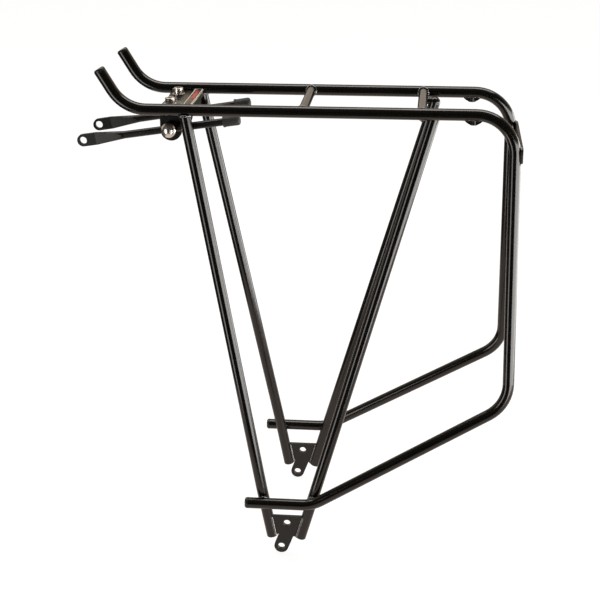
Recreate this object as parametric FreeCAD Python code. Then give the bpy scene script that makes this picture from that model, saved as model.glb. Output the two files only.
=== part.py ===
import FreeCAD, Part
import math
import os

from FreeCAD import Placement, Rotation, Vector

# Rear carrier for a bicycle, brazed from round steel tube, with two adjustable front stays.
# Millimetres. The origin lies midway between the two lower foot eyelets, on their common axis.
# +X points to the rear of the bicycle, +Y to its right-hand side and +Z up.
# Everything is drawn for the right-hand side (+Y) and mirrored for the left-hand side.

# Tube stock
TUBE_R = 5.0
TUBE_BORE_R = 4.0
BAR_R = 4.0
BAR_BORE_R = 3.0
WALL = 1.0
LOOP_BEND_R = 33.0
KNEE_BEND_R = 45.0

# Deck rails and the closed side loops below them
RAIL_Y = 44.75
RAIL_Z = 397.0
HORN_TIP = Vector(-153.8, RAIL_Y, 431.0)
HORN_CORNER = Vector(-133.5, RAIL_Y, RAIL_Z)
REAR_TOP_CORNER = Vector(195.2, RAIL_Y, RAIL_Z)
REAR_LOW_CORNER = Vector(198.8, 71.2, 147.3)
LOW_RAIL_Y = 82.5
LOW_RAIL_Z = 46.9
LOW_CORNER = Vector(28.5, LOW_RAIL_Y, LOW_RAIL_Z)
STUB_TIP = Vector(-31.7, LOW_RAIL_Y, LOW_RAIL_Z)
PLUG_HEAD = 2.6
PLUG_SPIGOT = 9.0
PLUG_ROUND = 1.8

# Legs, which run from the foot plates to the deck
LEG_Y = 72.7
KNEE_Z = 57.0
FRONT_KNEE_X = -17.6
FRONT_TOP_X = -82.5
FRONT_FOOT_Z = 8.6
REAR_KNEE_X = 31.2
REAR_TOP = Vector(127.6, 32.3, 390.3)
REAR_FOOT_Z = 7.8
HOOK_END_X = 115.6
HOOK_R = 3.0
HOOK_RISE = 1.2
FRONT_LEG_TOP_Z = 393.0
LEG_END_ROUND = 1.6
JOINT_SINK = 1.5
PLATE_SETBACK = 1.5

# Crossbars of the deck
MIDDLE_BAR_X = 17.8
REAR_BAR_X = 117.5

# Foot plates with two eyelets each
FOOT_Y = 74.0
FOOT_THICKNESS = 4.0
EYELET_R = 3.2
UPPER_EYELET = (5.3, 24.0)
TONGUE_R = 6.5
TONGUE_LEAN = math.radians(21.0)
TONGUE_FRONT_LENGTH = 11.2
TONGUE_REAR_LENGTH = 13.8
FOOT_TOP_Z = 30.4

# Bridge plate between the rails, with a bent-down mudguard tab
BRIDGE_FRONT_X = -109.5
BRIDGE_REAR_X = -78.5
BRIDGE_SAG = 3.5
BRIDGE_TOP_Z = 396.0
BRIDGE_THICKNESS = 3.0
TAB_HALF_ROOT = 25.0
TAB_REACH = 6.0
TAB_TIP_R = 6.5
TAB_DROP = 84.0
TAB_HOLE_R = 2.75

# Raised name badge on the bridge plate, left blank
BADGE_X = -82.7
BADGE_WIDTH = 7.2
BADGE_LENGTH = 75.0
BADGE_HEIGHT = 1.8
BADGE_RIM = 0.9
BADGE_RECESS = 0.5

# Light plate across the back of the loops
LIGHT_X = 199.9
LIGHT_THICKNESS = 2.3
LIGHT_HALF_WIDTH = 52.5
LIGHT_LOW_Z = 357.5
LIGHT_TOP_Z = 370.5
LIGHT_HOLE_R = 2.7
LIGHT_HOLE_SPACINGS = (50.0, 80.0)
LIGHT_CORNER_R = 3.0

# Threaded accessory bosses under the rear end of each rail
BOSS_X = 160.6
BOSS_WEB_R = 9.6
BOSS_WEB_DEPTH = 3.0
BOSS_WEB_THICKNESS = 6.0
BOSS_R = 3.3
BOSS_LOW_Z = 388.8
BOSS_SINK = 2.0
BOSS_THREAD_R = 2.1
BOSS_THREAD_DEPTH = 2.8

# Vertical bracket bolt, which slides across the bicycle in a slot of the bridge plate
BOLT_X = -98.6
BOLT_Y = 20.1
BOLT_R = 2.5
BOLT_HEAD_R = 4.25
BOLT_HEAD_HEIGHT = 5.0
BOLT_SOCKET_FLATS = 4.0
BOLT_SOCKET_DEPTH = 2.6
BOLT_HEAD_CHAMFER = 0.4
BOLT_LOW_Z = 384.6
BOLT_NUT_FLATS = 8.0
BOLT_NUT_HEIGHT = 4.0
WASHER_R = 5.5
WASHER_HEIGHT = 1.1
SLOT_TRAVEL = 4.0
SLOT_PLAY = 0.3
FACE_GAP = 0.05
PLAY_GAP = 0.1

# Front stays: each is a rod that slides through a clamp, and the clamp tilts on its bracket
CLAMP = Vector(-97.4, 32.0, 377.5)
TOE = 1.866
RISE = 8.885
ROD_R = 3.25
ROD_HOLE_R = 3.3
EYE_S = -77.7
EYE_R = 5.35
EYE_HOLE_R = 3.25
BLANK_R = 5.6
FLAT_HALF = 1.5
FLAT_END_S = -66.5
ROUND_START_S = -40.5
ROD_END_S = 59.6
CAP_START_S = 47.4
CAP_END_S = 62.1
CAP_R = 4.5
CAP_LIP_R = 4.8
CAP_LIP_LENGTH = 1.6
CAP_ROUND = 2.2

# Bracket that hangs the clamp from the bracket bolt
EAR_OUTER = -4.2
EAR_THICKNESS = 3.0
EAR_HALF_WIDTH = 9.4
EAR_DROP = 2.0
FLANGE_REACH = 20.5
SHANK_R = 3.0
SHANK_PLAY = 0.05

# Clamp: a domed bolt, cross-drilled for the rod, inside a black sleeve
SLEEVE_R = 6.2
SLEEVE_END = 5.4
CORE_R = 4.2
CORE_PLAY = 0.05
DOME_R = 6.35
DOME_EDGE = 0.8
DOME_HEIGHT = 4.9
SHANK_END = -14.2
CLAMP_NUT_FLATS = 10.0
CLAMP_NUT_HEIGHT = 4.4
CLAMP_WASHER_R = 6.0
CLAMP_WASHER_HEIGHT = 1.1

# Nut blanks, and how far cutting tools and fused pieces reach past a face
HEX_CORNER_ROUND = 1.02
PAST = 1.0
OVERLAP = 0.5
NEAR = 0.01

UP = Vector(0, 0, 1)
OUT = Vector(0, 1, 0)
REARWARD = Vector(1, 0, 0)


def unit(vector):
    return Vector(vector).normalize()


def centreline(points, bend_radii):
    """Straight runs through the corner points, joined by tangent arcs."""
    edges = []
    start = points[0]
    for corner, before, after, radius in zip(points[1:-1], points, points[2:], bend_radii):
        back = unit(before - corner)
        ahead = unit(after - corner)
        half_turn = (math.pi - back.getAngle(ahead)) / 2
        reach = radius * math.tan(half_turn)
        arc_start = corner + back * reach
        arc_end = corner + ahead * reach
        arc_middle = corner + unit(back + ahead) * (radius / math.cos(half_turn) - radius)
        edges.append(Part.LineSegment(start, arc_start).toShape())
        edges.append(Part.Arc(arc_start, arc_middle, arc_end).toShape())
        start = arc_end
    edges.append(Part.LineSegment(start, points[-1]).toShape())
    return Part.Wire(edges)


def bar(points, bend_radii, radius):
    """Solid round bar along the centreline."""
    path = centreline(points, bend_radii)
    ring = Part.Wire(Part.Circle(points[0], points[1] - points[0], radius).toShape())
    return Part.Solid(path.makePipeShell([ring], True, False))


def moved_ends(points, start_by, end_by):
    """The same points, with both ends moved along their own run; positive makes it longer."""
    first = points[0] + unit(points[0] - points[1]) * start_by
    last = points[-1] + unit(points[-1] - points[-2]) * end_by
    return [first] + list(points[1:-1]) + [last]


def cylinder(start, direction, radius, length):
    return Part.makeCylinder(radius, length, start, direction)


def prism(outline_edges, direction):
    return Part.Face(Part.Wire(outline_edges)).extrude(direction)


def polygon_prism(points, direction):
    return Part.Face(Part.makePolygon(points + points[:1])).extrude(direction)


def hexagon_prism(base, direction, flats, height):
    """Hexagonal nut blank whose flats face along X and the side."""
    corner_r = flats / math.sqrt(3)
    side = unit(direction.cross(REARWARD))
    corners = []
    for i in range(6):
        angle = math.radians(60 * i)
        corners.append(base + side * (corner_r * math.sin(angle)) + REARWARD * (corner_r * math.cos(angle)))
    blank = polygon_prism(corners, direction * height)
    chamfer_r = flats / 2 * HEX_CORNER_ROUND
    lower = Part.makeCone(chamfer_r, chamfer_r + height, height, base, direction)
    upper = Part.makeCone(chamfer_r + height, chamfer_r, height, base, direction)
    return blank.common(lower).common(upper)


def stadium_prism(centre, half_straight, radius, height):
    """Upright prism with round ends, long side across the bicycle."""
    near = centre - OUT * half_straight
    far = centre + OUT * half_straight
    edges = [
        Part.LineSegment(near + REARWARD * radius, far + REARWARD * radius).toShape(),
        Part.Arc(far + REARWARD * radius, far + OUT * radius, far - REARWARD * radius).toShape(),
        Part.LineSegment(far - REARWARD * radius, near - REARWARD * radius).toShape(),
        Part.Arc(near - REARWARD * radius, near - OUT * radius, near + REARWARD * radius).toShape(),
    ]
    return prism(edges, UP * height)


# Side loop: horn, deck rail, upright, lower rail and front stub are one bent tube.

def loop_points():
    plug_back = -PLUG_HEAD
    corners = [HORN_TIP, HORN_CORNER, REAR_TOP_CORNER, REAR_LOW_CORNER, LOW_CORNER, STUB_TIP]
    return moved_ends(corners, plug_back, plug_back)


LOOP_RADII = [LOOP_BEND_R] * 4


def side_loop_bar():
    return bar(loop_points(), LOOP_RADII, TUBE_R)


def side_loop():
    bore = bar(moved_ends(loop_points(), PAST, PAST), LOOP_RADII, TUBE_BORE_R)
    return side_loop_bar().cut(bore)


def end_plug(tip, inward):
    """Pressed-in plug with a flush, rounded head."""
    head = cylinder(tip, inward, TUBE_R, PLUG_HEAD)
    outer_edge = [edge for edge in head.Edges if edge.BoundBox.Center.distanceToPoint(tip) < NEAR]
    head = head.makeFillet(PLUG_ROUND, outer_edge)
    return head.fuse(cylinder(tip, inward, TUBE_BORE_R, PLUG_HEAD + PLUG_SPIGOT)).removeSplitter()


# Legs

def front_leg_points():
    slope = (FRONT_TOP_X - FRONT_KNEE_X) / (RAIL_Z - KNEE_Z)
    foot = Vector(FRONT_KNEE_X + slope * (FRONT_FOOT_Z - KNEE_Z), LEG_Y, FRONT_FOOT_Z)
    knee = Vector(FRONT_KNEE_X, LEG_Y, KNEE_Z)
    top = Vector(FRONT_TOP_X, RAIL_Y, RAIL_Z)
    return moved_ends([foot, knee, top], 0, -JOINT_SINK)


def rear_leg_points():
    slope = (REAR_TOP.x - REAR_KNEE_X) / (REAR_TOP.z - KNEE_Z)
    foot = Vector(REAR_KNEE_X + slope * (REAR_FOOT_Z - KNEE_Z), LEG_Y, REAR_FOOT_Z)
    knee = Vector(REAR_KNEE_X, LEG_Y, KNEE_Z)
    return [foot, knee, REAR_TOP]


def leg_bar(points):
    """Leg with its lower end rounded over."""
    leg = bar(points, [KNEE_BEND_R], TUBE_R)
    end_rim = [edge for edge in leg.Edges if edge.CenterOfMass.distanceToPoint(points[0]) < NEAR]
    return leg.makeFillet(LEG_END_ROUND, end_rim)


def front_leg_bar():
    """Front leg, cut level just below the rail."""
    corner = Vector(FRONT_TOP_X - 2 * TUBE_R, RAIL_Y - 2 * TUBE_R, FRONT_LEG_TOP_Z)
    waste = Part.makeBox(4 * TUBE_R, 4 * TUBE_R, 2 * TUBE_R, corner)
    return leg_bar(front_leg_points()).cut(waste)


def rear_leg_bar():
    """Rear leg with a domed top and a short lug forwards to the crossbar."""
    lug_start = REAR_TOP + UP * HOOK_RISE
    lug = cylinder(lug_start, -REARWARD, HOOK_R, REAR_TOP.x - HOOK_END_X)
    dome = Part.makeSphere(TUBE_R, REAR_TOP)
    return leg_bar(rear_leg_points()).fuse([dome, lug]).removeSplitter()


def front_leg():
    top_closure = TUBE_R + WALL
    bore = bar(moved_ends(front_leg_points(), -WALL, -top_closure), [KNEE_BEND_R], TUBE_BORE_R)
    return front_leg_bar().cut(bore).cut(side_loop_bar())


def rear_leg():
    bore = bar(moved_ends(rear_leg_points(), -WALL, -2.0 * TUBE_R), [KNEE_BEND_R], TUBE_BORE_R)
    return rear_leg_bar().cut(bore).cut(side_loop_bar()).cut(crossbar_bar(REAR_BAR_X))


# Crossbars

def crossbar_bar(x):
    half = RAIL_Y - JOINT_SINK
    return cylinder(Vector(x, -half, RAIL_Z), OUT, BAR_R, 2 * half)


def crossbar(x):
    half = RAIL_Y - TUBE_R - WALL
    bore = cylinder(Vector(x, -half, RAIL_Z), OUT, BAR_BORE_R, 2 * half)
    return crossbar_bar(x).cut(bore).cut(side_loop_bar()).cut(mirrored(side_loop_bar()))


# Foot plate

def foot_plate():
    lean = Vector(math.sin(TONGUE_LEAN), 0, math.cos(TONGUE_LEAN))
    across = Vector(-lean.z, 0, lean.x)
    base = OUT * (FOOT_Y - FOOT_THICKNESS / 2)
    front_tangent = base + across * TONGUE_R
    rear_tangent = base - across * TONGUE_R
    front_notch = front_tangent + lean * TONGUE_FRONT_LENGTH
    rear_notch = rear_tangent + lean * TONGUE_REAR_LENGTH
    front_foot, front_knee = front_leg_points()[:2]
    rear_foot, rear_knee = rear_leg_points()[:2]

    def on_leg(foot, knee, z):
        share = (z - foot.z) / (knee.z - foot.z)
        return Vector(foot.x + share * (knee.x - foot.x), base.y, z)

    corners = [
        front_notch,
        on_leg(front_foot, front_knee, FRONT_FOOT_Z + PLATE_SETBACK),
        on_leg(front_foot, front_knee, FOOT_TOP_Z),
        on_leg(rear_foot, rear_knee, FOOT_TOP_Z),
        on_leg(rear_foot, rear_knee, REAR_FOOT_Z + PLATE_SETBACK),
        rear_notch,
    ]
    outline = [Part.LineSegment(a, b).toShape() for a, b in zip(corners, corners[1:])]
    outline.append(Part.LineSegment(rear_notch, rear_tangent).toShape())
    outline.append(Part.Arc(rear_tangent, base - lean * TONGUE_R, front_tangent).toShape())
    outline.append(Part.LineSegment(front_tangent, front_notch).toShape())
    plate = prism(outline, OUT * FOOT_THICKNESS)
    for x, z in ((0, 0), UPPER_EYELET):
        plate = plate.cut(cylinder(Vector(x, base.y - PAST, z), OUT, EYELET_R, FOOT_THICKNESS + 2 * PAST))
    return plate.cut(front_leg_bar()).cut(rear_leg_bar())


# Bridge plate and badge

def mudguard_tab():
    """Round-ended tab, bent down about the rear edge of the bridge plate."""
    low_z = BRIDGE_TOP_Z - BRIDGE_THICKNESS
    tip = Vector(BRIDGE_REAR_X + TAB_REACH, 0, low_z)
    root = Vector(BRIDGE_REAR_X, TAB_HALF_ROOT, low_z)
    to_tip = math.atan2(tip.y - root.y, tip.x - root.x)
    swing = math.asin(TAB_TIP_R / root.distanceToPoint(tip))
    touch_angle = to_tip + swing + math.pi / 2
    touch = tip + Vector(math.cos(touch_angle), math.sin(touch_angle), 0) * TAB_TIP_R
    other_root = Vector(root.x, -root.y, low_z)
    other_touch = Vector(touch.x, -touch.y, low_z)
    outline = [
        Part.LineSegment(other_root, root).toShape(),
        Part.LineSegment(root, touch).toShape(),
        Part.Arc(touch, tip + REARWARD * TAB_TIP_R, other_touch).toShape(),
        Part.LineSegment(other_touch, other_root).toShape(),
    ]
    tab = prism(outline, UP * BRIDGE_THICKNESS)
    tab = tab.cut(cylinder(tip - UP * PAST, UP, TAB_HOLE_R, BRIDGE_THICKNESS + 2 * PAST))
    tab.rotate(Vector(BRIDGE_REAR_X, 0, BRIDGE_TOP_Z), OUT, TAB_DROP)
    return tab


def bridge_plate():
    low_z = BRIDGE_TOP_Z - BRIDGE_THICKNESS
    front_right = Vector(BRIDGE_FRONT_X, RAIL_Y, low_z)
    front_left = Vector(BRIDGE_FRONT_X, -RAIL_Y, low_z)
    rear_right = Vector(BRIDGE_REAR_X, RAIL_Y, low_z)
    rear_left = Vector(BRIDGE_REAR_X, -RAIL_Y, low_z)
    outline = [
        Part.Arc(front_left, Vector(BRIDGE_FRONT_X + BRIDGE_SAG, 0, low_z), front_right).toShape(),
        Part.LineSegment(front_right, rear_right).toShape(),
        Part.LineSegment(rear_right, rear_left).toShape(),
        Part.LineSegment(rear_left, front_left).toShape(),
    ]
    plate = prism(outline, UP * BRIDGE_THICKNESS).fuse(mudguard_tab()).removeSplitter()
    slot_r = BOLT_R + SLOT_PLAY
    for side in (1, -1):
        centre = Vector(BOLT_X, side * (BOLT_Y - SLOT_TRAVEL / 2), low_z - PAST)
        plate = plate.cut(stadium_prism(centre, SLOT_TRAVEL / 2, slot_r, BRIDGE_THICKNESS + 2 * PAST))
    return plate.cut(side_loop_bar()).cut(mirrored(side_loop_bar()))


def badge():
    centre = Vector(BADGE_X, 0, BRIDGE_TOP_Z)
    radius = BADGE_WIDTH / 2
    half_straight = BADGE_LENGTH / 2 - radius
    body = stadium_prism(centre, half_straight, radius, BADGE_HEIGHT)
    floor = centre + UP * (BADGE_HEIGHT - BADGE_RECESS)
    return body.cut(stadium_prism(floor, half_straight, radius - BADGE_RIM, BADGE_RECESS + PAST))


# Light plate and accessory bosses

def light_plate():
    size = (LIGHT_THICKNESS, 2 * LIGHT_HALF_WIDTH, LIGHT_TOP_Z - LIGHT_LOW_Z)
    plate = Part.makeBox(*size, Vector(LIGHT_X, -LIGHT_HALF_WIDTH, LIGHT_LOW_Z))
    short_edges = [edge for edge in plate.Edges if abs(edge.Length - LIGHT_THICKNESS) < NEAR]
    plate = plate.makeFillet(LIGHT_CORNER_R, short_edges)
    hole_z = (LIGHT_TOP_Z + LIGHT_LOW_Z) / 2
    for spacing in LIGHT_HOLE_SPACINGS:
        for side in (1, -1):
            start = Vector(LIGHT_X - PAST, side * spacing / 2, hole_z)
            plate = plate.cut(cylinder(start, REARWARD, LIGHT_HOLE_R, LIGHT_THICKNESS + 2 * PAST))
    return plate.cut(side_loop_bar()).cut(mirrored(side_loop_bar()))


def accessory_boss():
    """Half-moon web under the rail with a threaded boss in its middle."""
    rail_low_z = RAIL_Z - TUBE_R
    web_centre_z = rail_low_z - BOSS_WEB_DEPTH + BOSS_WEB_R
    web_start = Vector(BOSS_X, RAIL_Y - BOSS_WEB_THICKNESS / 2, web_centre_z)
    web = cylinder(web_start, OUT, BOSS_WEB_R, BOSS_WEB_THICKNESS)
    web_low_z = rail_low_z - BOSS_WEB_DEPTH
    block_height = RAIL_Z - BOSS_SINK - web_low_z + PAST
    block_corner = Vector(BOSS_X - BOSS_WEB_R, web_start.y, web_low_z - PAST)
    block = Part.makeBox(2 * BOSS_WEB_R, BOSS_WEB_THICKNESS, block_height, block_corner)
    boss = cylinder(Vector(BOSS_X, RAIL_Y, BOSS_LOW_Z), UP, BOSS_R, RAIL_Z - BOSS_SINK - BOSS_LOW_Z)
    thread_start = Vector(BOSS_X, RAIL_Y, BOSS_LOW_Z - PAST)
    thread = cylinder(thread_start, UP, BOSS_THREAD_R, BOSS_THREAD_DEPTH + PAST)
    return web.common(block).fuse(boss).removeSplitter().cut(thread).cut(side_loop_bar())


# Bracket bolt with its washer and nut

def bracket_bolt():
    seat_z = BRIDGE_TOP_Z + FACE_GAP + WASHER_HEIGHT
    foot = Vector(BOLT_X, BOLT_Y, BOLT_LOW_Z)
    seat = Vector(BOLT_X, BOLT_Y, seat_z)
    head = cylinder(seat, UP, BOLT_HEAD_R, BOLT_HEAD_HEIGHT)
    top_edge = [edge for edge in head.Edges if edge.BoundBox.ZMin > seat_z + BOLT_HEAD_HEIGHT - NEAR]
    head = head.makeChamfer(BOLT_HEAD_CHAMFER, top_edge)
    socket_start = seat + UP * (BOLT_HEAD_HEIGHT - BOLT_SOCKET_DEPTH)
    socket = hexagon_prism(socket_start, UP, BOLT_SOCKET_FLATS, BOLT_SOCKET_DEPTH + PAST)
    shank = cylinder(foot, UP, BOLT_R, seat_z - BOLT_LOW_Z + OVERLAP)
    return head.fuse(shank).removeSplitter().cut(socket)


def bracket_washer():
    base = Vector(BOLT_X, BOLT_Y, BRIDGE_TOP_Z + FACE_GAP)
    return cylinder(base, UP, WASHER_R, WASHER_HEIGHT).cut(cylinder(base, UP, BOLT_R, WASHER_HEIGHT))


def flange_low_z():
    return BRIDGE_TOP_Z - BRIDGE_THICKNESS - PLAY_GAP - EAR_THICKNESS


def bracket_nut():
    base = Vector(BOLT_X, BOLT_Y, flange_low_z() - PLAY_GAP - BOLT_NUT_HEIGHT)
    blank = hexagon_prism(base, UP, BOLT_NUT_FLATS, BOLT_NUT_HEIGHT)
    return blank.cut(cylinder(base - UP * PAST, UP, BOLT_R, BOLT_NUT_HEIGHT + 2 * PAST))


# Parts that hang from the bracket bolt are drawn about the clamp centre, then toed out.

def toed_out(shape):
    placed = shape.copy()
    placed.Placement = Placement(CLAMP, Rotation(UP, TOE)).multiply(placed.Placement)
    return placed


def along_rod(shape):
    """Tilt a shape drawn along X so that it follows the rod, which rises to the rear."""
    tilted = shape.copy()
    tilted.Placement = Placement(Vector(0, 0, 0), Rotation(-OUT, RISE)).multiply(tilted.Placement)
    return tilted


def stay_bracket():
    """Folded bracket: a flange under the bridge plate and an ear that hangs from it."""
    flange_low = flange_low_z() - CLAMP.z
    flange_top = flange_low + EAR_THICKNESS
    inner = EAR_OUTER - EAR_THICKNESS
    profile = [
        Vector(0, EAR_OUTER, -EAR_DROP),
        Vector(0, EAR_OUTER, flange_top - EAR_THICKNESS),
        Vector(0, inner, flange_top),
        Vector(0, EAR_OUTER - FLANGE_REACH, flange_top),
        Vector(0, EAR_OUTER - FLANGE_REACH, flange_low),
        Vector(0, inner, flange_low),
        Vector(0, inner, -EAR_DROP),
    ]
    bend = inner + EAR_THICKNESS * math.cos(math.pi / 4)
    bend_middle = Vector(0, bend, flange_low + EAR_THICKNESS * math.sin(math.pi / 4))
    outline = [
        Part.LineSegment(profile[0], profile[1]).toShape(),
        Part.Arc(profile[1], bend_middle, profile[2]).toShape(),
    ]
    ring = profile[2:] + profile[:1]
    outline += [Part.LineSegment(a, b).toShape() for a, b in zip(ring, ring[1:])]
    folded = prism(outline, REARWARD * (2 * EAR_HALF_WIDTH))
    folded.translate(REARWARD * -EAR_HALF_WIDTH)
    round_end = cylinder(Vector(0, inner, -EAR_DROP), OUT, EAR_HALF_WIDTH, EAR_THICKNESS)
    bracket = folded.fuse(round_end).removeSplitter()
    shank_hole_r = SHANK_R + SHANK_PLAY
    bracket = bracket.cut(cylinder(Vector(0, inner - PAST, 0), OUT, shank_hole_r, EAR_THICKNESS + 2 * PAST))
    bracket = toed_out(bracket)
    hole_start = Vector(BOLT_X, BOLT_Y, flange_low_z() - PAST)
    return bracket.cut(cylinder(hole_start, UP, BOLT_R + SHANK_PLAY, EAR_THICKNESS + 2 * PAST))


def rod_passage():
    reach = SLEEVE_R + DOME_R
    return along_rod(cylinder(Vector(-reach, 0, 0), REARWARD, ROD_HOLE_R, 2 * reach))


def clamp_bolt():
    """Domed bolt, cross-drilled for the rod, with its thread through the bracket's ear."""
    dome_base = SLEEVE_END + FACE_GAP
    rise = DOME_HEIGHT - DOME_EDGE
    sphere_r = (DOME_R ** 2 + rise ** 2) / (2 * rise)
    apex = dome_base + DOME_HEIGHT
    ball = Part.makeSphere(sphere_r, Vector(0, apex - sphere_r, 0))
    head = cylinder(Vector(0, dome_base, 0), OUT, DOME_R, DOME_HEIGHT + PAST).common(ball)
    core_start = EAR_OUTER + PLAY_GAP
    core = cylinder(Vector(0, core_start, 0), OUT, CORE_R, dome_base + OVERLAP - core_start)
    shank = cylinder(Vector(0, SHANK_END, 0), OUT, SHANK_R, core_start + OVERLAP - SHANK_END)
    bolt = head.fuse([core, shank]).removeSplitter()
    return toed_out(bolt.cut(rod_passage()))


def clamp_sleeve():
    start = Vector(0, EAR_OUTER + PLAY_GAP, 0)
    length = SLEEVE_END - start.y
    sleeve = cylinder(start, OUT, SLEEVE_R, length).cut(cylinder(start, OUT, CORE_R + CORE_PLAY, length))
    return toed_out(sleeve.cut(rod_passage()))


def clamp_washer():
    start = Vector(0, EAR_OUTER - EAR_THICKNESS - PLAY_GAP - CLAMP_WASHER_HEIGHT, 0)
    ring = cylinder(start, OUT, CLAMP_WASHER_R, CLAMP_WASHER_HEIGHT)
    return toed_out(ring.cut(cylinder(start, OUT, SHANK_R, CLAMP_WASHER_HEIGHT)))


def clamp_nut():
    start_y = EAR_OUTER - EAR_THICKNESS - PLAY_GAP - CLAMP_WASHER_HEIGHT - CLAMP_NUT_HEIGHT
    start = Vector(0, start_y, 0)
    blank = hexagon_prism(start, OUT, CLAMP_NUT_FLATS, CLAMP_NUT_HEIGHT)
    return toed_out(blank.cut(cylinder(start - OUT * PAST, OUT, SHANK_R, CLAMP_NUT_HEIGHT + 2 * PAST)))


def stay_rod():
    """Round rod whose front end is upset to a wider blank and pressed into a flat eye."""
    blank_front = EYE_S - BLANK_R - PAST
    flat_length = FLAT_END_S - blank_front
    blank = cylinder(Vector(blank_front, 0, 0), REARWARD, BLANK_R, flat_length)
    cone_start = Vector(FLAT_END_S, 0, 0)
    cone = Part.makeCone(BLANK_R, ROD_R, ROUND_START_S - FLAT_END_S, cone_start, REARWARD)
    low = -UP * (BLANK_R + PAST)
    wedge_end = ROUND_START_S + PAST
    wedge_half = ROD_R + OVERLAP
    die = [
        Vector(blank_front, FLAT_HALF, 0) + low,
        Vector(FLAT_END_S, FLAT_HALF, 0) + low,
        Vector(wedge_end, wedge_half, 0) + low,
        Vector(wedge_end, -wedge_half, 0) + low,
        Vector(FLAT_END_S, -FLAT_HALF, 0) + low,
        Vector(blank_front, -FLAT_HALF, 0) + low,
    ]
    pressed = blank.fuse(cone).common(polygon_prism(die, low * -2))
    eye_start = Vector(EYE_S, -BLANK_R, 0)
    eye_end = cylinder(eye_start, OUT, EYE_R, 2 * BLANK_R)
    behind_size = (ROUND_START_S - EYE_S, 2 * BLANK_R, 2 * EYE_R)
    behind_eye = Part.makeBox(*behind_size, eye_start - UP * EYE_R)
    front = pressed.common(eye_end.fuse(behind_eye))
    shaft = cylinder(Vector(ROUND_START_S, 0, 0), REARWARD, ROD_R, ROD_END_S - ROUND_START_S)
    rod = front.fuse(shaft).removeSplitter()
    rod = rod.cut(cylinder(eye_start, OUT, EYE_HOLE_R, 2 * BLANK_R))
    return toed_out(along_rod(rod))


def stay_cap():
    """Rubber cap pushed over the rear end of the rod."""
    outer = cylinder(Vector(CAP_START_S, 0, 0), REARWARD, CAP_R, CAP_END_S - CAP_START_S)
    end_edge = [edge for edge in outer.Edges if edge.BoundBox.XMin > CAP_END_S - NEAR]
    outer = outer.makeFillet(CAP_ROUND, end_edge)
    lip = cylinder(Vector(CAP_START_S, 0, 0), REARWARD, CAP_LIP_R, CAP_LIP_LENGTH)
    bore_start = Vector(CAP_START_S - PAST, 0, 0)
    bore = cylinder(bore_start, REARWARD, ROD_R, ROD_END_S - CAP_START_S + PAST)
    return toed_out(along_rod(outer.fuse(lip).removeSplitter().cut(bore)))


def mirrored(shape):
    return shape.mirror(Vector(0, 0, 0), OUT)


def paired_parts():
    """Nodes that exist once on each side, drawn for the right-hand side."""
    horn_inward = unit(HORN_CORNER - HORN_TIP)
    return {
        "side_loop": side_loop(),
        "front_leg": front_leg(),
        "rear_leg": rear_leg(),
        "foot_plate": foot_plate(),
        "accessory_boss": accessory_boss(),
        "horn_plug": end_plug(HORN_TIP, horn_inward),
        "stub_plug": end_plug(STUB_TIP, REARWARD),
        "bracket_bolt": bracket_bolt(),
        "bracket_washer": bracket_washer(),
        "bracket_nut": bracket_nut(),
        "stay_bracket": stay_bracket(),
        "clamp_bolt": clamp_bolt(),
        "clamp_sleeve": clamp_sleeve(),
        "clamp_washer": clamp_washer(),
        "clamp_nut": clamp_nut(),
        "stay_rod": stay_rod(),
        "stay_cap": stay_cap(),
    }


def centre_parts():
    return {
        "crossbar_middle": crossbar(MIDDLE_BAR_X),
        "crossbar_rear": crossbar(REAR_BAR_X),
        "bridge_plate": bridge_plate(),
        "badge": badge(),
        "light_plate": light_plate(),
    }


def main():
    os.makedirs("parts", exist_ok=True)
    nodes = centre_parts()
    for name, shape in paired_parts().items():
        nodes[name + "_right"] = shape
        nodes[name + "_left"] = mirrored(shape)
    for name, shape in sorted(nodes.items()):
        solid = shape.Solids[0] if len(shape.Solids) == 1 else Part.makeCompound(shape.Solids)
        solid.exportStep(os.path.join("parts", name + ".step"))
        print(name, len(shape.Solids), "solid", round(shape.Volume, 1), "mm3", shape.isValid())


main()
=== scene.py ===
"""Looks of the bicycle rear carrier: finishes, weld beads, badge face, seams with painted groove shade,
threads, stage and lights.
"""

import math

import bmesh
import bpy
from mathutils import Matrix, Vector, noise


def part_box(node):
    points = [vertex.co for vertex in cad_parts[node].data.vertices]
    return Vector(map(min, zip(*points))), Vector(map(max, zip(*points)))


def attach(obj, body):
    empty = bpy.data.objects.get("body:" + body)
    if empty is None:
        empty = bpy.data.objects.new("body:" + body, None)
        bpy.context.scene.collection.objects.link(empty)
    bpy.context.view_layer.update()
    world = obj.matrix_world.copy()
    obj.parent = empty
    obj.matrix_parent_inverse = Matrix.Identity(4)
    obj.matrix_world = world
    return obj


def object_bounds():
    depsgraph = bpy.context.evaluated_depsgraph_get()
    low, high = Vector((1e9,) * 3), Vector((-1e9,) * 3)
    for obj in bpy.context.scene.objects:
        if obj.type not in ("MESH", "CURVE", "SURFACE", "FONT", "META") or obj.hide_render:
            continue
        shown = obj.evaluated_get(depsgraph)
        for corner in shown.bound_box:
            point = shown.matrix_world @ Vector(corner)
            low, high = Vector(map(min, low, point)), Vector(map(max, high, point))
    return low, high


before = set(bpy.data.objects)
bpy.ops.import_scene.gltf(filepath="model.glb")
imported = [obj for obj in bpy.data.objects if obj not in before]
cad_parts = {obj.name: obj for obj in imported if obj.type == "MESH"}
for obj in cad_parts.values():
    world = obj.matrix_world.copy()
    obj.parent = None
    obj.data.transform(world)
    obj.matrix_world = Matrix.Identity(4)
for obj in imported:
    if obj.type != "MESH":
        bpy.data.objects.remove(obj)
bpy.context.view_layer.update()
cad_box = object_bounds()

MM = 0.001
SIDES = {"right": 1, "left": -1}
UP = Vector((0, 0, 1))
OUT = Vector((0, 1, 0))
REARWARD = Vector((1, 0, 0))
X_AXIS = 0
Z_AXIS = 2
TUBE_R = 5.0 * MM


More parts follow.
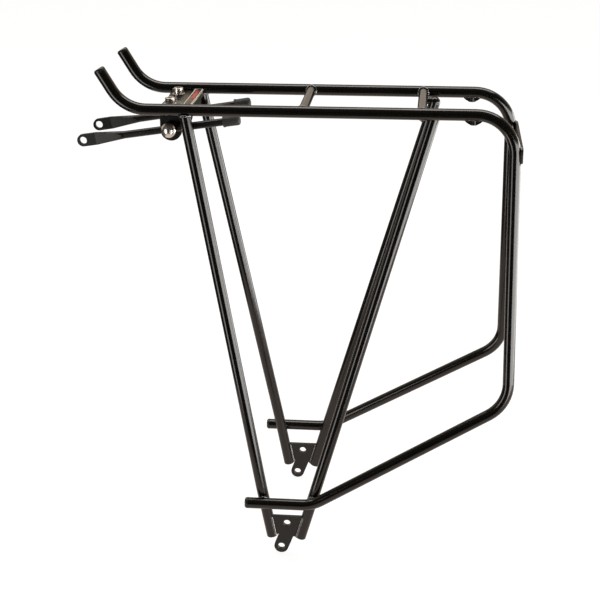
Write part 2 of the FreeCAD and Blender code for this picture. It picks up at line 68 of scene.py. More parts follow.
# Reading places from the CAD meshes

DECK_ABOVE = 0.3
LOW_RAIL_BELOW = 0.1
UPRIGHTS_BEHIND = 0.15
HORNS_BEFORE = -0.12


def section_points(node, axis, value):
    """Points where the edges of a CAD node cross the plane at that value of X, Y or Z."""
    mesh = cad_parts[node].data
    points = []
    for edge in mesh.edges:
        a, b = (mesh.vertices[i].co for i in edge.vertices)
        if (a[axis] - value) * (b[axis] - value) < 0:
            points.append(a.lerp(b, (value - a[axis]) / (b[axis] - a[axis])))
    return points


def section_centre(node, axis, value, keep=lambda p: True):
    """Middle of a tube's cross-section at that plane."""
    points = [p for p in section_points(node, axis, value) if keep(p)]
    return Vector([(min(p[i] for p in points) + max(p[i] for p in points)) / 2 for i in range(3)])


def tube_line(node, axis, first, second, keep=lambda p: True):
    """A straight tube's axis, as a point and a direction, from two cross-sections."""
    a = section_centre(node, axis, first, keep)
    b = section_centre(node, axis, second, keep)
    return a, (b - a).normalized()


def box_middle(node):
    low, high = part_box(node)
    return (low + high) / 2


def on_deck(point):
    return point.z > DECK_ABOVE


def low_down(point):
    return point.z < LOW_RAIL_BELOW


def on_upright(point):
    return point.x > UPRIGHTS_BEHIND


def on_horn(point):
    return point.x < HORNS_BEFORE


# Making meshes

def make_object(name, bm, material, smooth=True):
    mesh = bpy.data.meshes.new(name)
    bmesh.ops.recalc_face_normals(bm, faces=bm.faces)
    bm.to_mesh(mesh)
    bm.free()
    for polygon in mesh.polygons:
        polygon.use_smooth = smooth
    mesh.materials.append(material)
    piece = bpy.data.objects.new(name, mesh)
    bpy.context.scene.collection.objects.link(piece)
    return piece


NEARLY_UPRIGHT = 0.9


def frame_across(direction):
    """Two unit vectors square to a direction and to each other."""
    helper = UP if abs(direction.dot(UP)) < NEARLY_UPRIGHT else REARWARD
    u = direction.cross(helper).normalized()
    return u, direction.cross(u).normalized()


def spoke(across, angle):
    """Unit vector at that angle in the plane of two unit vectors."""
    u, v = across
    return u * math.cos(angle) + v * math.sin(angle)


def circle(centre, direction, radius, count=64):
    across = frame_across(direction)
    return [centre + spoke(across, 2 * math.pi * k / count) * radius for k in range(count)]


def skin(bm, rings):
    """Faces between each ring of vertices and the next."""
    for one, two in zip(rings, rings[1:]):
        for k in range(len(one)):
            m = (k + 1) % len(one)
            bm.faces.new((one[k], one[m], two[m], two[k]))


FEWEST_STEPS = 6
SHORTEST = 1e-9


def resample(points, step, closed):
    """The same path with evenly spaced points."""
    ring = list(points) + ([points[0]] if closed else [])
    lengths = [0.0]
    for a, b in zip(ring, ring[1:]):
        lengths.append(lengths[-1] + (b - a).length)
    count = max(FEWEST_STEPS, round(lengths[-1] / step))
    samples = []
    k = 0
    for i in range(count if closed else count + 1):
        along = lengths[-1] * i / count
        while k < len(ring) - 2 and lengths[k + 1] < along:
            k += 1
        share = (along - lengths[k]) / max(lengths[k + 1] - lengths[k], SHORTEST)
        samples.append(ring[k].lerp(ring[k + 1], share))
    return samples


def rope_of_rings(name, path, radii, closed, material, sides=12):
    """A tube mesh through the path points, with its own radius at each point and flat ends."""
    bm = bmesh.new()
    count = len(path)
    rings = []
    for i, centre in enumerate(path):
        ahead = path[(i + 1) % count] if closed or i + 1 < count else path[i]
        behind = path[i - 1] if closed or i > 0 else path[i]
        ring = circle(centre, (ahead - behind).normalized(), radii[i], sides)
        rings.append([bm.verts.new(point) for point in ring])
    pairs = list(zip(rings, rings[1:])) + ([(rings[-1], rings[0])] if closed else [])
    for one, two in pairs:
        shift = nearest_shift(one, two)
        for k in range(sides):
            m = (k + 1) % sides
            bm.faces.new((one[k], one[m], two[(m + shift) % sides], two[(k + shift) % sides]))
    if not closed:
        for ring in (rings[0], rings[-1]):
            bm.faces.new(ring)
    return make_object(name, bm, material)


def nearest_shift(one, two):
    """How far the second ring's numbering is turned against the first's."""
    gaps = [(one[0].co - vert.co).length for vert in two]
    return gaps.index(min(gaps))


BEAD_STEP = 0.3 * MM
RIPPLE_PITCH = 1.3 * MM
RIPPLE_DEPTH = 0.22
BEAD_WANDER = 0.2
WANDER_SCALE = 400
BLUNT_END = 0.05
BEAD_LIFT = 0.25 * MM


def bead(name, points, radius, closed=False, body="frame"):
    """Weld bead along a path: overlapping ripples, a wandering width and blunt ends.

    The radius is a number, or a function of the share of the path's length."""
    path = resample(points, BEAD_STEP, closed)
    radii = []
    for i, point in enumerate(path):
        along = i * BEAD_STEP
        size = radius(i / len(path)) if callable(radius) else radius
        ripple = 1 - RIPPLE_DEPTH + RIPPLE_DEPTH * abs(math.cos(math.pi * along / RIPPLE_PITCH))
        wander = 1 + BEAD_WANDER * noise.noise(point * WANDER_SCALE)
        end = 1.0
        if not closed:
            inset = min(i, len(path) - 1 - i) * BEAD_STEP / size
            end = math.sqrt(max(BLUNT_END, 1 - (1 - min(inset, 1)) ** 2))
        radii.append(size * ripple * wander * end)
    piece = rope_of_rings(name, path, radii, closed, MATERIALS["weld_coat"])
    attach(piece, body)


def joint_ring(branch, branch_r, run, run_r, count=48, ceiling=None):
    """Curve where a branch tube, whose direction points at the run tube, meets its surface.

    A branch that is cut off level has its curve held down to that ceiling."""
    start, direction = branch
    on_run, along_run = run
    across = frame_across(direction)
    ring = []
    for k in range(count):
        outward = spoke(across, 2 * math.pi * k / count)
        origin = start + outward * branch_r
        offset = (origin - on_run) - along_run * (origin - on_run).dot(along_run)
        slope = direction - along_run * direction.dot(along_run)
        a = slope.dot(slope)
        b = offset.dot(slope)
        c = offset.dot(offset) - run_r ** 2
        travel = (-b - math.sqrt(max(b * b - a * c, 0))) / a
        if ceiling is not None:
            travel = min(travel, (ceiling - origin.z) / direction.z)
        touch = origin + direction * travel
        off_run = (touch - on_run) - along_run * (touch - on_run).dot(along_run)
        ring.append(touch + (outward + off_run.normalized()).normalized() * BEAD_LIFT)
    return ring


def crossing_ring(one, two, radius_one, radius_two, reach, count=40):
    """Ring around the point where two crossing tubes touch, with the half gap between them at each point."""
    (p, a), (q, b) = one, two
    across = a.cross(b).normalized()
    if (q - p).dot(across) < 0:
        across = -across
    gap = (q - p).dot(across)
    plane_offset = (q - p) - across * gap
    # p + a * s = q + b * t in the plane square to the common normal, solved for s
    det = a.dot(a) * -b.dot(b) + a.dot(b) ** 2
    s = (plane_offset.dot(a) * -b.dot(b) + a.dot(b) * plane_offset.dot(b)) / det
    middle = p + a * s + across * (radius_one + (gap - radius_one - radius_two) / 2)
    ring = []
    halves = []
    plane = (a, across.cross(a).normalized())
    for k in range(count):
        step = spoke(plane, 2 * math.pi * k / count) * reach
        side_a = (step - a * step.dot(a)).length
        side_b = (step - b * step.dot(b)).length
        fall_a = radius_one - math.sqrt(radius_one ** 2 - side_a ** 2)
        fall_b = radius_two - math.sqrt(radius_two ** 2 - side_b ** 2)
        ring.append(middle + step + across * (fall_b - fall_a) / 2)
        halves.append((fall_a + fall_b) / 2)
    return ring, halves


# Materials

NOISE_LOW = 0.3
NOISE_HIGH = 0.7
EDGE_SAMPLES = 6


def join(material, source, socket):
    material.node_tree.links.new(source, socket)


def new_material(name):
    material = bpy.data.materials.new(name)
    material.use_nodes = True
    nodes = material.node_tree.nodes
    nodes.clear()
    output = nodes.new("ShaderNodeOutputMaterial")
    shader = nodes.new("ShaderNodeBsdfPrincipled")
    join(material, shader.outputs["BSDF"], output.inputs["Surface"])
    return material, shader


def add_noise(material, scale, detail):
    """Noise over the surface, as an output between 0 and 1; the scale is in cycles to the metre."""
    nodes = material.node_tree.nodes
    place = nodes.new("ShaderNodeTexCoord")
    texture = nodes.new("ShaderNodeTexNoise")
    texture.inputs["Scale"].default_value = scale
    texture.inputs["Detail"].default_value = detail
    join(material, place.outputs["Object"], texture.inputs["Vector"])
    return texture.outputs["Fac"]


def ramp(material, source, low, high):
    """Colours between low and high, spread over the middle of a noise."""
    node = material.node_tree.nodes.new("ShaderNodeValToRGB")
    steps = ((NOISE_LOW, low), (NOISE_HIGH, high))
    for element, (position, colour) in zip(node.color_ramp.elements, steps):
        element.position = position
        element.color = (*colour, 1)
    join(material, source, node.inputs["Fac"])
    return node.outputs["Color"]


def spread(material, source, low, high):
    """Numbers between low and high, spread over the middle of a noise."""
    node = material.node_tree.nodes.new("ShaderNodeMapRange")
    node.inputs["From Min"].default_value = NOISE_LOW
    node.inputs["From Max"].default_value = NOISE_HIGH
    node.inputs["To Min"].default_value = low
    node.inputs["To Max"].default_value = high
    join(material, source, node.inputs["Value"])
    return node.outputs["Result"]


def finish_surface(material, shader, heights, edge_radius):
    """Rounded edges first, then one bump for each (height source, distance, strength)."""
    nodes = material.node_tree.nodes
    normal = None
    if edge_radius:
        edge = nodes.new("ShaderNodeBevel")
        edge.samples = EDGE_SAMPLES
        edge.inputs["Radius"].default_value = edge_radius
        normal = edge.outputs["Normal"]
    for source, distance, strength in heights:
        bump = nodes.new("ShaderNodeBump")
        bump.inputs["Distance"].default_value = distance
        bump.inputs["Strength"].default_value = strength
        join(material, source, bump.inputs["Height"])
        if normal:
            join(material, normal, bump.inputs["Normal"])
        normal = bump.outputs["Normal"]
    join(material, normal, shader.inputs["Normal"])


# scale and detail of each noise
COAT_MOTTLE = (60, 3.0)
ORANGE_PEEL = (900, 2.0)
DUST_NIBS = (4500, 1.0)
HANDLING_MARKS = (120, 3.0)
HAIRLINES = (2600, 4.0)
RUBBER_MOTTLE = (200, 3.0)
RUBBER_GRAIN = (3000, 4.0)
STAGE_MOTTLE = (6, 3.0)

PEEL_HEIGHT = 0.02 * MM
NIB_HEIGHT = 0.004 * MM
COAT_ROUGHNESS_SPREAD = (0.85, 1.2)
STEEL_ROUGHNESS_SPREAD = (0.7, 1.5)
HAIRLINE_HEIGHT = 0.004 * MM
HAIRLINE_STRENGTH = 0.4
RUBBER_DARK = (0.011, 0.011, 0.011)
RUBBER_LIGHT = (0.024, 0.023, 0.022)
RUBBER_ROUGHNESS = (0.5, 0.7)
RUBBER_GRAIN_HEIGHT = 0.03 * MM
RUBBER_GRAIN_STRENGTH = 0.6
RUBBER_EDGE = 0.3 * MM


def coated_metal(name, dark, light, roughness, peel, edge_radius=0.35 * MM, ior=1.5):
    """Sprayed coat: slightly mottled colour, orange peel and fine dust nibs."""
    material, shader = new_material(name)
    mottle = add_noise(material, *COAT_MOTTLE)
    orange_peel = add_noise(material, *ORANGE_PEEL)
    nibs = add_noise(material, *DUST_NIBS)
    join(material, ramp(material, mottle, dark, light), shader.inputs["Base Color"])
    smoothest, roughest = (roughness * share for share in COAT_ROUGHNESS_SPREAD)
    join(material, spread(material, mottle, smoothest, roughest), shader.inputs["Roughness"])
    shader.inputs["IOR"].default_value = ior
    heights = [(orange_peel, PEEL_HEIGHT, peel), (nibs, NIB_HEIGHT, peel)]
    finish_surface(material, shader, heights, edge_radius)
    return material


def polished_steel(name, dark, light, roughness, edge_radius=0.25 * MM, metallic=1.0):
    """Polished stainless steel with faint hairlines and handling marks."""
    material, shader = new_material(name)
    marks = add_noise(material, *HANDLING_MARKS)
    hairlines = add_noise(material, *HAIRLINES)
    join(material, ramp(material, marks, dark, light), shader.inputs["Base Color"])
    shader.inputs["Metallic"].default_value = metallic
    smoothest, roughest = (roughness * share for share in STEEL_ROUGHNESS_SPREAD)
    join(material, spread(material, hairlines, smoothest, roughest), shader.inputs["Roughness"])
    finish_surface(material, shader, [(hairlines, HAIRLINE_HEIGHT, HAIRLINE_STRENGTH)], edge_radius)
    return material


def soft_rubber(name):
    """Matt moulded rubber with a fine grain."""
    material, shader = new_material(name)
    mottle = add_noise(material, *RUBBER_MOTTLE)
    grain = add_noise(material, *RUBBER_GRAIN)
    join(material, ramp(material, mottle, RUBBER_DARK, RUBBER_LIGHT), shader.inputs["Base Color"])
    join(material, spread(material, grain, *RUBBER_ROUGHNESS), shader.inputs["Roughness"])
    finish_surface(material, shader, [(grain, RUBBER_GRAIN_HEIGHT, RUBBER_GRAIN_STRENGTH)], RUBBER_EDGE)
    return material


BLACK = (0.0042, 0.0036, 0.0026)
BROWN_BLACK = (0.0060, 0.0052, 0.0038)
DULL_BLACK = (0.006, 0.006, 0.006)

MATERIALS = {
    "frame_coat": coated_metal("frame_coat", BLACK, BROWN_BLACK, 0.15, 0.05),
    "plate_coat": coated_metal("plate_coat", BLACK, BROWN_BLACK, 0.26, 0.2, 0.6 * MM, ior=1.45),
    "weld_coat": coated_metal("weld_coat", BLACK, BROWN_BLACK, 0.1, 0.05, 0, ior=2.2),
    "light_plate": coated_metal("light_plate", BLACK, BROWN_BLACK, 0.42, 0.3, 1.05 * MM, ior=1.4),
    "plug": coated_metal("plug", (0.009, 0.009, 0.009), (0.014, 0.013, 0.012), 0.26, 0.4),
    "bracket": coated_metal("bracket", DULL_BLACK, (0.010, 0.009, 0.008), 0.3, 0.5, 0.5 * MM, ior=1.4),
    "stay": coated_metal("stay", DULL_BLACK, (0.010, 0.010, 0.010), 0.33, 0.5, 0.6 * MM, ior=1.36),
    # seam ring: darker and duller than the plug, painted shade of the groove between plug head and tube
    "seam_shade": coated_metal("seam_shade", (0.003, 0.003, 0.003), (0.005, 0.005, 0.005), 0.7, 0.3, 0),
    "fastener": polished_steel("fastener", (0.60, 0.57, 0.52), (0.78, 0.74, 0.69), 0.27),
    "badge_rim": polished_steel("badge_rim", (0.50, 0.44, 0.36), (0.60, 0.53, 0.44), 0.45, metallic=0.3),
    "badge_field": coated_metal("badge_field", (0.02, 0.018, 0.017), (0.035, 0.03, 0.028), 0.25, 0.3),
    "badge_band": coated_metal("badge_band", (0.42, 0.012, 0.010), (0.52, 0.022, 0.016), 0.3, 0.4),
    "rubber": soft_rubber("rubber"),
}

NODE_FINISH = {
    "side_loop": "frame_coat",
    "front_leg": "frame_coat",
    "rear_leg": "frame_coat",
    "crossbar": "frame_coat",
    "foot_plate": "plate_coat",
    "bridge_plate": "plate_coat",
    "light_plate": "light_plate",
    "accessory_boss": "plate_coat",
    "horn_plug": "plug",
    "stub_plug": "plug",
    "badge": "badge_rim",
    "bracket_bolt": "fastener",
    "bracket_washer": "fastener",
    "bracket_nut": "fastener",
    "clamp_bolt": "fastener",
    "clamp_washer": "fastener",
    "clamp_nut": "fastener",
    "stay_bracket": "bracket",
    "clamp_sleeve": "bracket",
    "stay_rod": "stay",
    "stay_cap": "rubber",
}


def finish_nodes():
    """Each CAD node's finish, found by the start of its name."""
    for name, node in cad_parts.items():
        finish = next(value for prefix, value in NODE_FINISH.items() if name.startswith(prefix))
        for slot in node.material_slots:
            slot.material = MATERIALS[finish]


# Weld beads

RAIL_PLACES = (-0.05, 0.1)
FRONT_LEG_HEIGHTS = (0.2, 0.35)
LEG_TOP_DROP = 0.3 * MM
LEG_TOP_INSET = 0.4 * MM
LEG_TOP_BEAD_R = 1.35 * MM
CROSSBAR_BEAD_R = 1.3 * MM


def weld_beads():
    for side, sign in SIDES.items():
        loop = "side_loop_" + side
        rail = tube_line(loop, X_AXIS, *RAIL_PLACES, on_deck)
        front_leg = tube_line("front_leg_" + side, Z_AXIS, *FRONT_LEG_HEIGHTS)
        leg_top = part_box("front_leg_" + side)[1].z - LEG_TOP_DROP
        ring = joint_ring(front_leg, TUBE_R - LEG_TOP_INSET, rail, TUBE_R, ceiling=leg_top)
        bead("weld_front_leg_" + side, ring, LEG_TOP_BEAD_R, True)
        for bar in ("middle", "rear"):
            low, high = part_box("crossbar_" + bar)
            line = (box_middle("crossbar_" + bar), OUT * sign)
            ring = joint_ring(line, (high.z - low.z) / 2, rail, TUBE_R)
            bead("weld_crossbar_" + bar + "_" + side, ring, CROSSBAR_BEAD_R, True)
        foot_beads(side)
        low_rail_beads(side)
        hook_bead(side)
        bridge_beads(side, sign, rail)
        light_beads(side)
        boss_beads(side, rail)


FOOT_BEAD_R = 1.5 * MM
FOOT_BEAD_LOW = 2.5 * MM
FOOT_BEAD_HIGH = 0.5 * MM
FOOT_SECTIONS = (6 * MM, 30 * MM)


def foot_beads(side):
    """Beads down both faces of the foot plate, where it meets the front and rear legs."""
    low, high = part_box("foot_plate_" + side)
    for leg, towards in (("front_leg_", 1), ("rear_leg_", -1)):
        foot_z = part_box(leg + side)[0].z
        start, direction = tube_line(leg + side, Z_AXIS, *(foot_z + rise for rise in FOOT_SECTIONS))
        for face, y in (("outer", high.y), ("inner", low.y)):
            reach = math.sqrt(TUBE_R ** 2 - (y - start.y) ** 2)
            points = []
            for z in (foot_z + FOOT_BEAD_LOW, high.z - FOOT_BEAD_HIGH):
                on_axis = start + direction * ((z - start.z) / direction.z)
                points.append(Vector((on_axis.x + towards * reach, y, z)))
            bead("weld_" + leg + "foot_" + face + "_" + side, points, FOOT_BEAD_R)


CONTACT_REACH = 3.4 * MM
CONTACT_FILL = 0.75 * MM
LOW_RAIL_X = 0.0
RAIL_HALF_STEP = 2 * MM
LEG_BELOW = 12 * MM
LEG_ABOVE = 3 * MM


def low_rail_beads(side):
    """Ring of weld where the lower rail lies against each leg."""
    loop = "side_loop_" + side
    for leg in ("front_leg_", "rear_leg_"):
        low_z = section_centre(loop, X_AXIS, LOW_RAIL_X, low_down).z
        x = section_centre(leg + side, Z_AXIS, low_z).x
        rail = tube_line(loop, X_AXIS, x - RAIL_HALF_STEP, x + RAIL_HALF_STEP, low_down)
        leg_line = tube_line(leg + side, Z_AXIS, low_z - LEG_BELOW, low_z + LEG_ABOVE)
        ring, halves = crossing_ring(leg_line, rail, TUBE_R, TUBE_R, CONTACT_REACH)
        size = [half + CONTACT_FILL for half in halves]
        radius = lambda share, size=size: size[int(share * len(size))]
        bead("weld_low_rail_" + leg + side, ring, radius, True)


LUG_R = 3.0 * MM
LUG_RISE = 1.2 * MM
HOOK_BEAD_R = 1.0 * MM


def hook_bead(side):
    """Weld around the lug between the rear leg's domed top and the crossbar."""
    low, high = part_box("crossbar_rear")
    bar_r = (high.z - low.z) / 2
    crossbar = (Vector((low.x + high.x, 0, low.z + high.z)) / 2, OUT)
    leg_low, leg_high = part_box("rear_leg_" + side)
    y = min(leg_low.y, leg_high.y, key=abs)
    y += math.copysign(TUBE_R, y)
    lug = (Vector((leg_high.x, y, leg_high.z - TUBE_R + LUG_RISE)), -REARWARD)
    bead("weld_hook_" + side, joint_ring(lug, LUG_R, crossbar, bar_r), HOOK_BEAD_R, True)


BRIDGE_BEAD_R = 1.45 * MM
BRIDGE_BEAD_INSET = 0.5 * MM
BRIDGE_BEAD_END = 10 * MM
BRIDGE_THICKNESS = 3 * MM
BADGE_CLEARANCE = 0.6 * MM


def bridge_beads(side, sign, rail):
    """Short beads at the front and rear corners of the bridge plate, above and below."""
    low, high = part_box("bridge_plate")
    rear_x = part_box("badge")[1].x + BADGE_CLEARANCE
    for face, z in (("top", high.z), ("under", high.z - BRIDGE_THICKNESS)):
        y = rail[0].y - sign * math.sqrt(TUBE_R ** 2 - (z - rail[0].z) ** 2)
        for end, x, run in (("front", low.x, 1), ("rear", rear_x, -1)):
            points = [Vector((x + run * inset, y, z)) for inset in (BRIDGE_BEAD_INSET, BRIDGE_BEAD_END)]
            bead("weld_bridge_" + face + "_" + end + "_" + side, points, BRIDGE_BEAD_R)


LIGHT_BEAD_R = 1.1 * MM
LIGHT_BEAD_HALF = 3.4 * MM
LIGHT_BEAD_INSET = 0.2 * MM


def light_beads(side):
    """Beads along the top and bottom of the light plate where it crosses each upright."""
    low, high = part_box("light_plate")
    for edge, z in (("top", high.z), ("under", low.z)):
        tube = section_centre("side_loop_" + side, Z_AXIS, z, on_upright)
        x = low.x + LIGHT_BEAD_INSET
        points = [Vector((x, tube.y + reach, z)) for reach in (-LIGHT_BEAD_HALF, LIGHT_BEAD_HALF)]
        bead("weld_light_" + edge + "_" + side, points, LIGHT_BEAD_R)


BOSS_BEAD_R = 0.7 * MM
BOSS_BEAD_INSET = 1 * MM


def boss_beads(side, rail):
    """Beads along both faces of the accessory boss, where it meets the rail."""
    low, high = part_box("accessory_boss_" + side)
    for face, y in (("inner", low.y), ("outer", high.y)):
        z = rail[0].z - math.sqrt(TUBE_R ** 2 - (y - rail[0].y) ** 2)
        points = [Vector((x, y, z)) for x in (low.x + BOSS_BEAD_INSET, high.x - BOSS_BEAD_INSET)]
        bead("weld_boss_" + face + "_" + side, points, BOSS_BEAD_R)


# Badge face, plug seams with painted groove shade, and threads

SLAB_HEIGHT = 0.2 * MM
SLAB_ROUND = 0.08 * MM
SLAB_STEPS = 4


def stadium(half_length, radius, steps=20):
    """Outline of a long round-ended shape, long side along Y."""
    points = []
    for k in range(steps + 1):
        angle = math.pi * k / steps
        points.append((radius * math.cos(angle), half_length - radius + radius * math.sin(angle)))
    for k in range(steps + 1):
        angle = math.pi + math.pi * k / steps
        points.append((radius * math.cos(angle), radius - half_length + radius * math.sin(angle)))
    return points


def stadium_slab(name, centre, half_length, radius, material):
    """Thin round-ended slab with rolled top edges."""
    straight = SLAB_HEIGHT - SLAB_ROUND
    layers = [(0, 0), (0, straight)]
    for k in range(1, SLAB_STEPS + 1):
        angle = math.pi / 2 * k / SLAB_STEPS
        layers.append((SLAB_ROUND * (1 - math.cos(angle)), straight + SLAB_ROUND * math.sin(angle)))
    bm = bmesh.new()
    rings = []
    for inset, z in layers:
        outline = stadium(half_length - inset, radius - inset)
        rings.append([bm.verts.new(centre + Vector((x, y, z))) for x, y in outline])
    skin(bm, rings)
    bm.faces.new(rings[-1])
    bm.faces.new(rings[0])
    piece = make_object(name, bm, material)
    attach(piece, "frame")


BADGE_RIM = 0.9 * MM
BADGE_RECESS = 0.5 * MM
BAND_LENGTH = 34 * MM
BAND_HALF_WIDTH = 1.5 * MM
BAND_OFFSET = 13.5 * MM


def badge_face():
    """Dark sunken field inside the badge's rim, with a plain red band on it."""
    low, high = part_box("badge")
    middle = (low + high) / 2
    floor = Vector((middle.x, middle.y, high.z - BADGE_RECESS))
    half_width = (high.x - low.x) / 2 - BADGE_RIM
    half_length = (high.y - low.y) / 2 - BADGE_RIM
    stadium_slab("badge_field", floor, half_length, half_width, MATERIALS["badge_field"])
    centre = floor + Vector((0, BAND_OFFSET, SLAB_HEIGHT))
    stadium_slab("badge_band", centre, BAND_LENGTH / 2, BAND_HALF_WIDTH, MATERIALS["badge_band"])


PLUG_HEAD = 2.6 * MM
SEAM_R = 0.16 * MM
SEAM_LIFT = 0.02 * MM
SEAM_SIDES = 8
HORN_HEIGHTS = (0.424, 0.416)
STUB_PLACES = (-0.02, 0.0)


def plug_seam_shades():
    """Parting line where each plug's head meets the tube's end, drawn as a thin ring darker than the plug:
    painted shade of the groove there.
    """
    for side in SIDES:
        loop = "side_loop_" + side
        lines = {
            "horn": tube_line(loop, Z_AXIS, *HORN_HEIGHTS, on_horn),
            "stub": tube_line(loop, X_AXIS, *STUB_PLACES, low_down),
        }
        for end, (on_axis, direction) in lines.items():
            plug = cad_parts[end + "_plug_" + side].data
            tip = min((vertex.co - on_axis).dot(direction) for vertex in plug.vertices)
            centre = on_axis + direction * (tip + PLUG_HEAD)
            path = circle(centre, direction, TUBE_R + SEAM_LIFT)
            radii = [SEAM_R] * len(path)
            seam_shade = rope_of_rings(end + "_plug_seam_shade_" + side, path, radii, True, MATERIALS["seam_shade"], SEAM_SIDES)
            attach(seam_shade, "frame")


THREAD_PITCH = 0.8 * MM
THREAD_DEPTH = 0.22 * MM
THREAD_SUNK = 0.2
THREAD_SIDES = 48
ROWS_PER_TURN = 10


def thread(name, start, direction, radius, length, body):
    """Screw thread on the end of a bolt, as a helical ridge."""
    across = frame_across(direction)
    bm = bmesh.new()
    rows = round(length / THREAD_PITCH * ROWS_PER_TURN)
    rings = []
    for row in range(rows + 1):
        along = length * row / rows
        ring = []
        for k in range(THREAD_SIDES):
            share = k / THREAD_SIDES
            phase = (along / THREAD_PITCH - share) % 1
            crest = 1 - abs(2 * phase - 1)
            r = radius - THREAD_DEPTH * THREAD_SUNK + THREAD_DEPTH * crest
            ring.append(bm.verts.new(start + direction * along + spoke(across, 2 * math.pi * share) * r))
        rings.append(ring)
    skin(bm, rings)
    bm.faces.new(rings[0])
    bm.faces.new(rings[-1])
    piece = make_object(name, bm, MATERIALS["fastener"])
    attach(piece, body)


BRACKET_SHANK_R = 2.5 * MM
CLAMP_SHANK_R = 3.0 * MM
THREAD_INSET = 0.1 * MM


def threads():
    """Threaded ends that stand out of the nuts: below the plate, and inboard of the clamps."""
    for side, sign in SIDES.items():
        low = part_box("bracket_bolt_" + side)[0]
        nut_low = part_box("bracket_nut_" + side)[0]
        centre = box_middle("bracket_bolt_" + side)
        start = Vector((centre.x, centre.y, low.z + THREAD_INSET))
        thread("thread_bracket_bolt_" + side, start, UP, BRACKET_SHANK_R, nut_low.z - low.z, "bolt_" + side)
        centre = box_middle("clamp_bolt_" + side)
        end_y = min((corner.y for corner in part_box("clamp_bolt_" + side)), key=abs)
        nut_y = min((corner.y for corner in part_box("clamp_nut_" + side)), key=abs)
        start = Vector((centre.x, end_y + sign * THREAD_INSET, centre.z))
        length = abs(nut_y - end_y)
        thread("thread_clamp_bolt_" + side, start, OUT * sign, CLAMP_SHANK_R, length, "clamp_" + side)


# Stage, lights and camera

FLOOR_HALF = 14.0
FLOOR_SHADE = 0.16
FLOOR_GLOW = 0.93
DOME_R = 13.0
DOME_LEVELS = 13
DOME_GLOW = 0.97
FAINT_SHADE = 0.02
MATT = 0.9
MOTTLE_SHARE = 0.98


def pale_surface(name, shade, glow, tint=(1, 1, 1)):
    """Pale matt surface that keeps the surroundings close to white."""
    material, shader = new_material(name)
    mottle = add_noise(material, *STAGE_MOTTLE)
    colour = ramp(material, mottle, (shade * MOTTLE_SHARE,) * 3, (shade,) * 3)
    join(material, colour, shader.inputs["Base Color"])
    shader.inputs["Roughness"].default_value = MATT
    shader.inputs["Emission Color"].default_value = (*tint, 1)
    shader.inputs["Emission Strength"].default_value = glow
    return material


def level_sheet(name, left, right, front, back, z, material):
    bm = bmesh.new()
    corners = [(left, front), (right, front), (right, back), (left, back)]
    bm.faces.new([bm.verts.new((x, y, z)) for x, y in corners])
    return make_object(name, bm, material, smooth=False)


def stage():
    """Pale floor, and a pale dome that only the camera sees."""
    floor_z = cad_box[0].z
    floor_material = pale_surface("floor", FLOOR_SHADE, FLOOR_GLOW)
    floor = level_sheet("floor", -FLOOR_HALF, FLOOR_HALF, -FLOOR_HALF, FLOOR_HALF, floor_z, floor_material)
    floor.visible_glossy = False
    bm = bmesh.new()
    rings = []
    for level in range(DOME_LEVELS):
        lift = math.pi / 2 * level / DOME_LEVELS
        ring = circle(Vector((0, 0, floor_z + DOME_R * math.sin(lift))), UP, DOME_R * math.cos(lift))
        rings.append([bm.verts.new(point) for point in ring])
    skin(bm, rings)
    bm.faces.new(rings[-1])
    dome = make_object("backdrop", bm, pale_surface("backdrop", FAINT_SHADE, DOME_GLOW))
    dome.visible_diffuse = False
    dome.visible_glossy = False
    dome.visible_transmission = False
    dome.visible_shadow = False


TABLE_FRONT = -0.36
TABLE_BACK = 1.2
TABLE_LEFT = -0.33
TABLE_RIGHT = 0.75
TABLE_DROP = 1 * MM
TABLE_GLOW = 0.85
TABLE_TINT = (1.0, 0.85, 0.76)


def table():
    """Pale table top that only shows in reflections."""
    z = cad_box[0].z - TABLE_DROP
    material = pale_surface("table_glow", FAINT_SHADE, TABLE_GLOW, TABLE_TINT)
    top = level_sheet("table_glow", TABLE_LEFT, TABLE_RIGHT, TABLE_FRONT, TABLE_BACK, z, material)
    top.visible_camera = False
    top.visible_diffuse = False
    top.visible_transmission = False
    top.visible_shadow = False


def softbox(name, place, target, width, height, radiance, colour):
    """Area light given by its brightness as seen in a reflection."""
    data = bpy.data.lights.new(name, "AREA")
    data.shape = "RECTANGLE"
    data.size = width
    data.size_y = height
    data.energy = radiance * width * height * math.pi
    data.color = colour
    light = bpy.data.objects.new(name, data)
    bpy.context.scene.collection.objects.link(light)
    light.location = place
    light.rotation_euler = (Vector(target) - Vector(place)).to_track_quat("-Z", "Y").to_euler()
    light.visible_camera = False
    return light


WARM_WHITE = (1.0, 0.97, 0.93)
PANEL_WHITE = (1.0, 0.98, 0.95)
LEFT_WHITE = (1.0, 0.98, 0.96)


def lights():
    """Overhead strip that lights everything, and three panels that only show in reflections."""
    # name, place, target, width, height, radiance, colour, whether it lights matt surfaces
    boxes = [
        ("top_strip", (0.05, 0.42, 2.0), (0.05, 0.2, 0.0), 2.6, 0.8, 5.5, WARM_WHITE, True),
        ("right_panel", (0.62, -0.34, 0.0), (0.1, -0.05, 0.1), 0.7, 0.95, 7.5, PANEL_WHITE, False),
        ("right_side", (0.95, 0.35, 0.0), (0.1, 0.0, 0.1), 0.9, 0.95, 6.5, PANEL_WHITE, False),
        ("left_panel", (-0.74, -0.8, 0.1), (-0.05, 0.0, 0.25), 0.42, 1.1, 4.2, LEFT_WHITE, False),
    ]
    for *settings, lights_matt in boxes:
        box = softbox(*settings)
        box.visible_diffuse = lights_matt


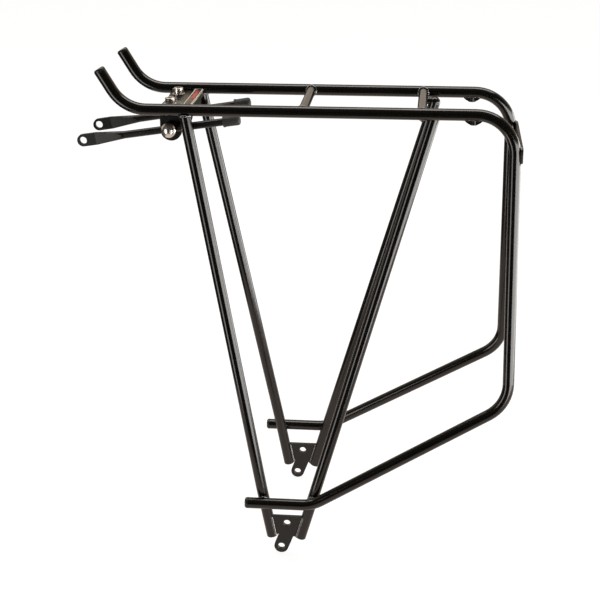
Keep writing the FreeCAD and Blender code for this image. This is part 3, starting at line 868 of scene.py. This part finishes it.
# colour at each height, from straight down (0) through level (0.5) to straight up (1)
BACK_SKY = [
    (0.00, (0.05, 0.045, 0.04)),
    (0.44, (0.06, 0.052, 0.045)),
    (0.52, (0.34, 0.29, 0.24)),
    (0.70, (0.36, 0.30, 0.235)),
    (0.86, (0.16, 0.145, 0.13)),
    (1.00, (0.10, 0.09, 0.08)),
]
FRONT_SKY = [
    (0.00, (0.05, 0.048, 0.045)),
    (0.30, (0.02, 0.018, 0.015)),
    (0.60, (0.010, 0.009, 0.007)),
    (1.00, (0.05, 0.045, 0.04)),
]
SKY_STRENGTH = 2.0
BEHIND_FROM = -0.15
BEHIND_TO = 0.35


def studio_world():
    """Soft surroundings: dark in front and below, with a warm wall behind."""
    world = bpy.data.worlds.new("studio")
    bpy.context.scene.world = world
    world.use_nodes = True
    nodes = world.node_tree.nodes
    links = world.node_tree.links
    nodes.clear()
    output = nodes.new("ShaderNodeOutputWorld")
    background = nodes.new("ShaderNodeBackground")
    place = nodes.new("ShaderNodeTexCoord")
    parts = nodes.new("ShaderNodeSeparateXYZ")
    links.new(place.outputs["Generated"], parts.inputs["Vector"])
    height = nodes.new("ShaderNodeMapRange")
    height.inputs["From Min"].default_value = -1
    links.new(parts.outputs["Z"], height.inputs["Value"])
    skies = []
    for steps in (FRONT_SKY, BACK_SKY):
        sky = nodes.new("ShaderNodeValToRGB")
        elements = sky.color_ramp.elements
        for k, (position, colour) in enumerate(steps):
            element = elements[k] if k < 2 else elements.new(position)
            element.position = position
            element.color = (*colour, 1)
        links.new(height.outputs["Result"], sky.inputs["Fac"])
        skies.append(sky)
    behind = nodes.new("ShaderNodeMapRange")
    behind.interpolation_type = "SMOOTHSTEP"
    behind.inputs["From Min"].default_value = BEHIND_FROM
    behind.inputs["From Max"].default_value = BEHIND_TO
    links.new(parts.outputs["Y"], behind.inputs["Value"])
    mix = nodes.new("ShaderNodeMix")
    mix.data_type = "RGBA"
    links.new(behind.outputs["Result"], mix.inputs["Factor"])
    links.new(skies[0].outputs["Color"], mix.inputs["A"])
    links.new(skies[1].outputs["Color"], mix.inputs["B"])
    background.inputs["Strength"].default_value = SKY_STRENGTH
    links.new(mix.outputs["Result"], background.inputs["Color"])
    links.new(background.outputs["Background"], output.inputs["Surface"])


CAMERA_PLACE = Vector((0.1315, -1.1903, 0.6597))
CAMERA_YAW = math.radians(5.77)
CAMERA_PITCH = math.radians(-20.5)
CAMERA_ROLL = math.radians(-0.31)
CAMERA_LENS = 84.0
CAMERA_SENSOR = 36.0
CAMERA_FAR = 60
CAMERA_SHIFT = -0.001


def camera():
    """Camera that looks along +Y, turned by its yaw, pitch and roll."""
    ahead = Vector((-math.sin(CAMERA_YAW), math.cos(CAMERA_YAW), 0)) * math.cos(CAMERA_PITCH)
    ahead.z = math.sin(CAMERA_PITCH)
    right = Vector((math.cos(CAMERA_YAW), math.sin(CAMERA_YAW), 0))
    up = right.cross(ahead)
    rolled_right = right * math.cos(CAMERA_ROLL) + up * math.sin(CAMERA_ROLL)
    rolled_up = up * math.cos(CAMERA_ROLL) - right * math.sin(CAMERA_ROLL)
    data = bpy.data.cameras.new("camera")
    data.lens = CAMERA_LENS
    data.sensor_width = CAMERA_SENSOR
    data.clip_end = CAMERA_FAR
    data.shift_x = CAMERA_SHIFT
    camera_object = bpy.data.objects.new("camera", data)
    bpy.context.scene.collection.objects.link(camera_object)
    turn = Matrix((rolled_right, rolled_up, -ahead)).transposed()
    camera_object.matrix_world = Matrix.Translation(CAMERA_PLACE) @ turn.to_4x4()
    bpy.context.scene.camera = camera_object


finish_nodes()
weld_beads()
badge_face()
plug_seam_shades()
threads()
stage()
table()
lights()
studio_world()
camera()
bpy.context.scene.view_settings.view_transform = "Standard"

bpy.context.view_layer.update()
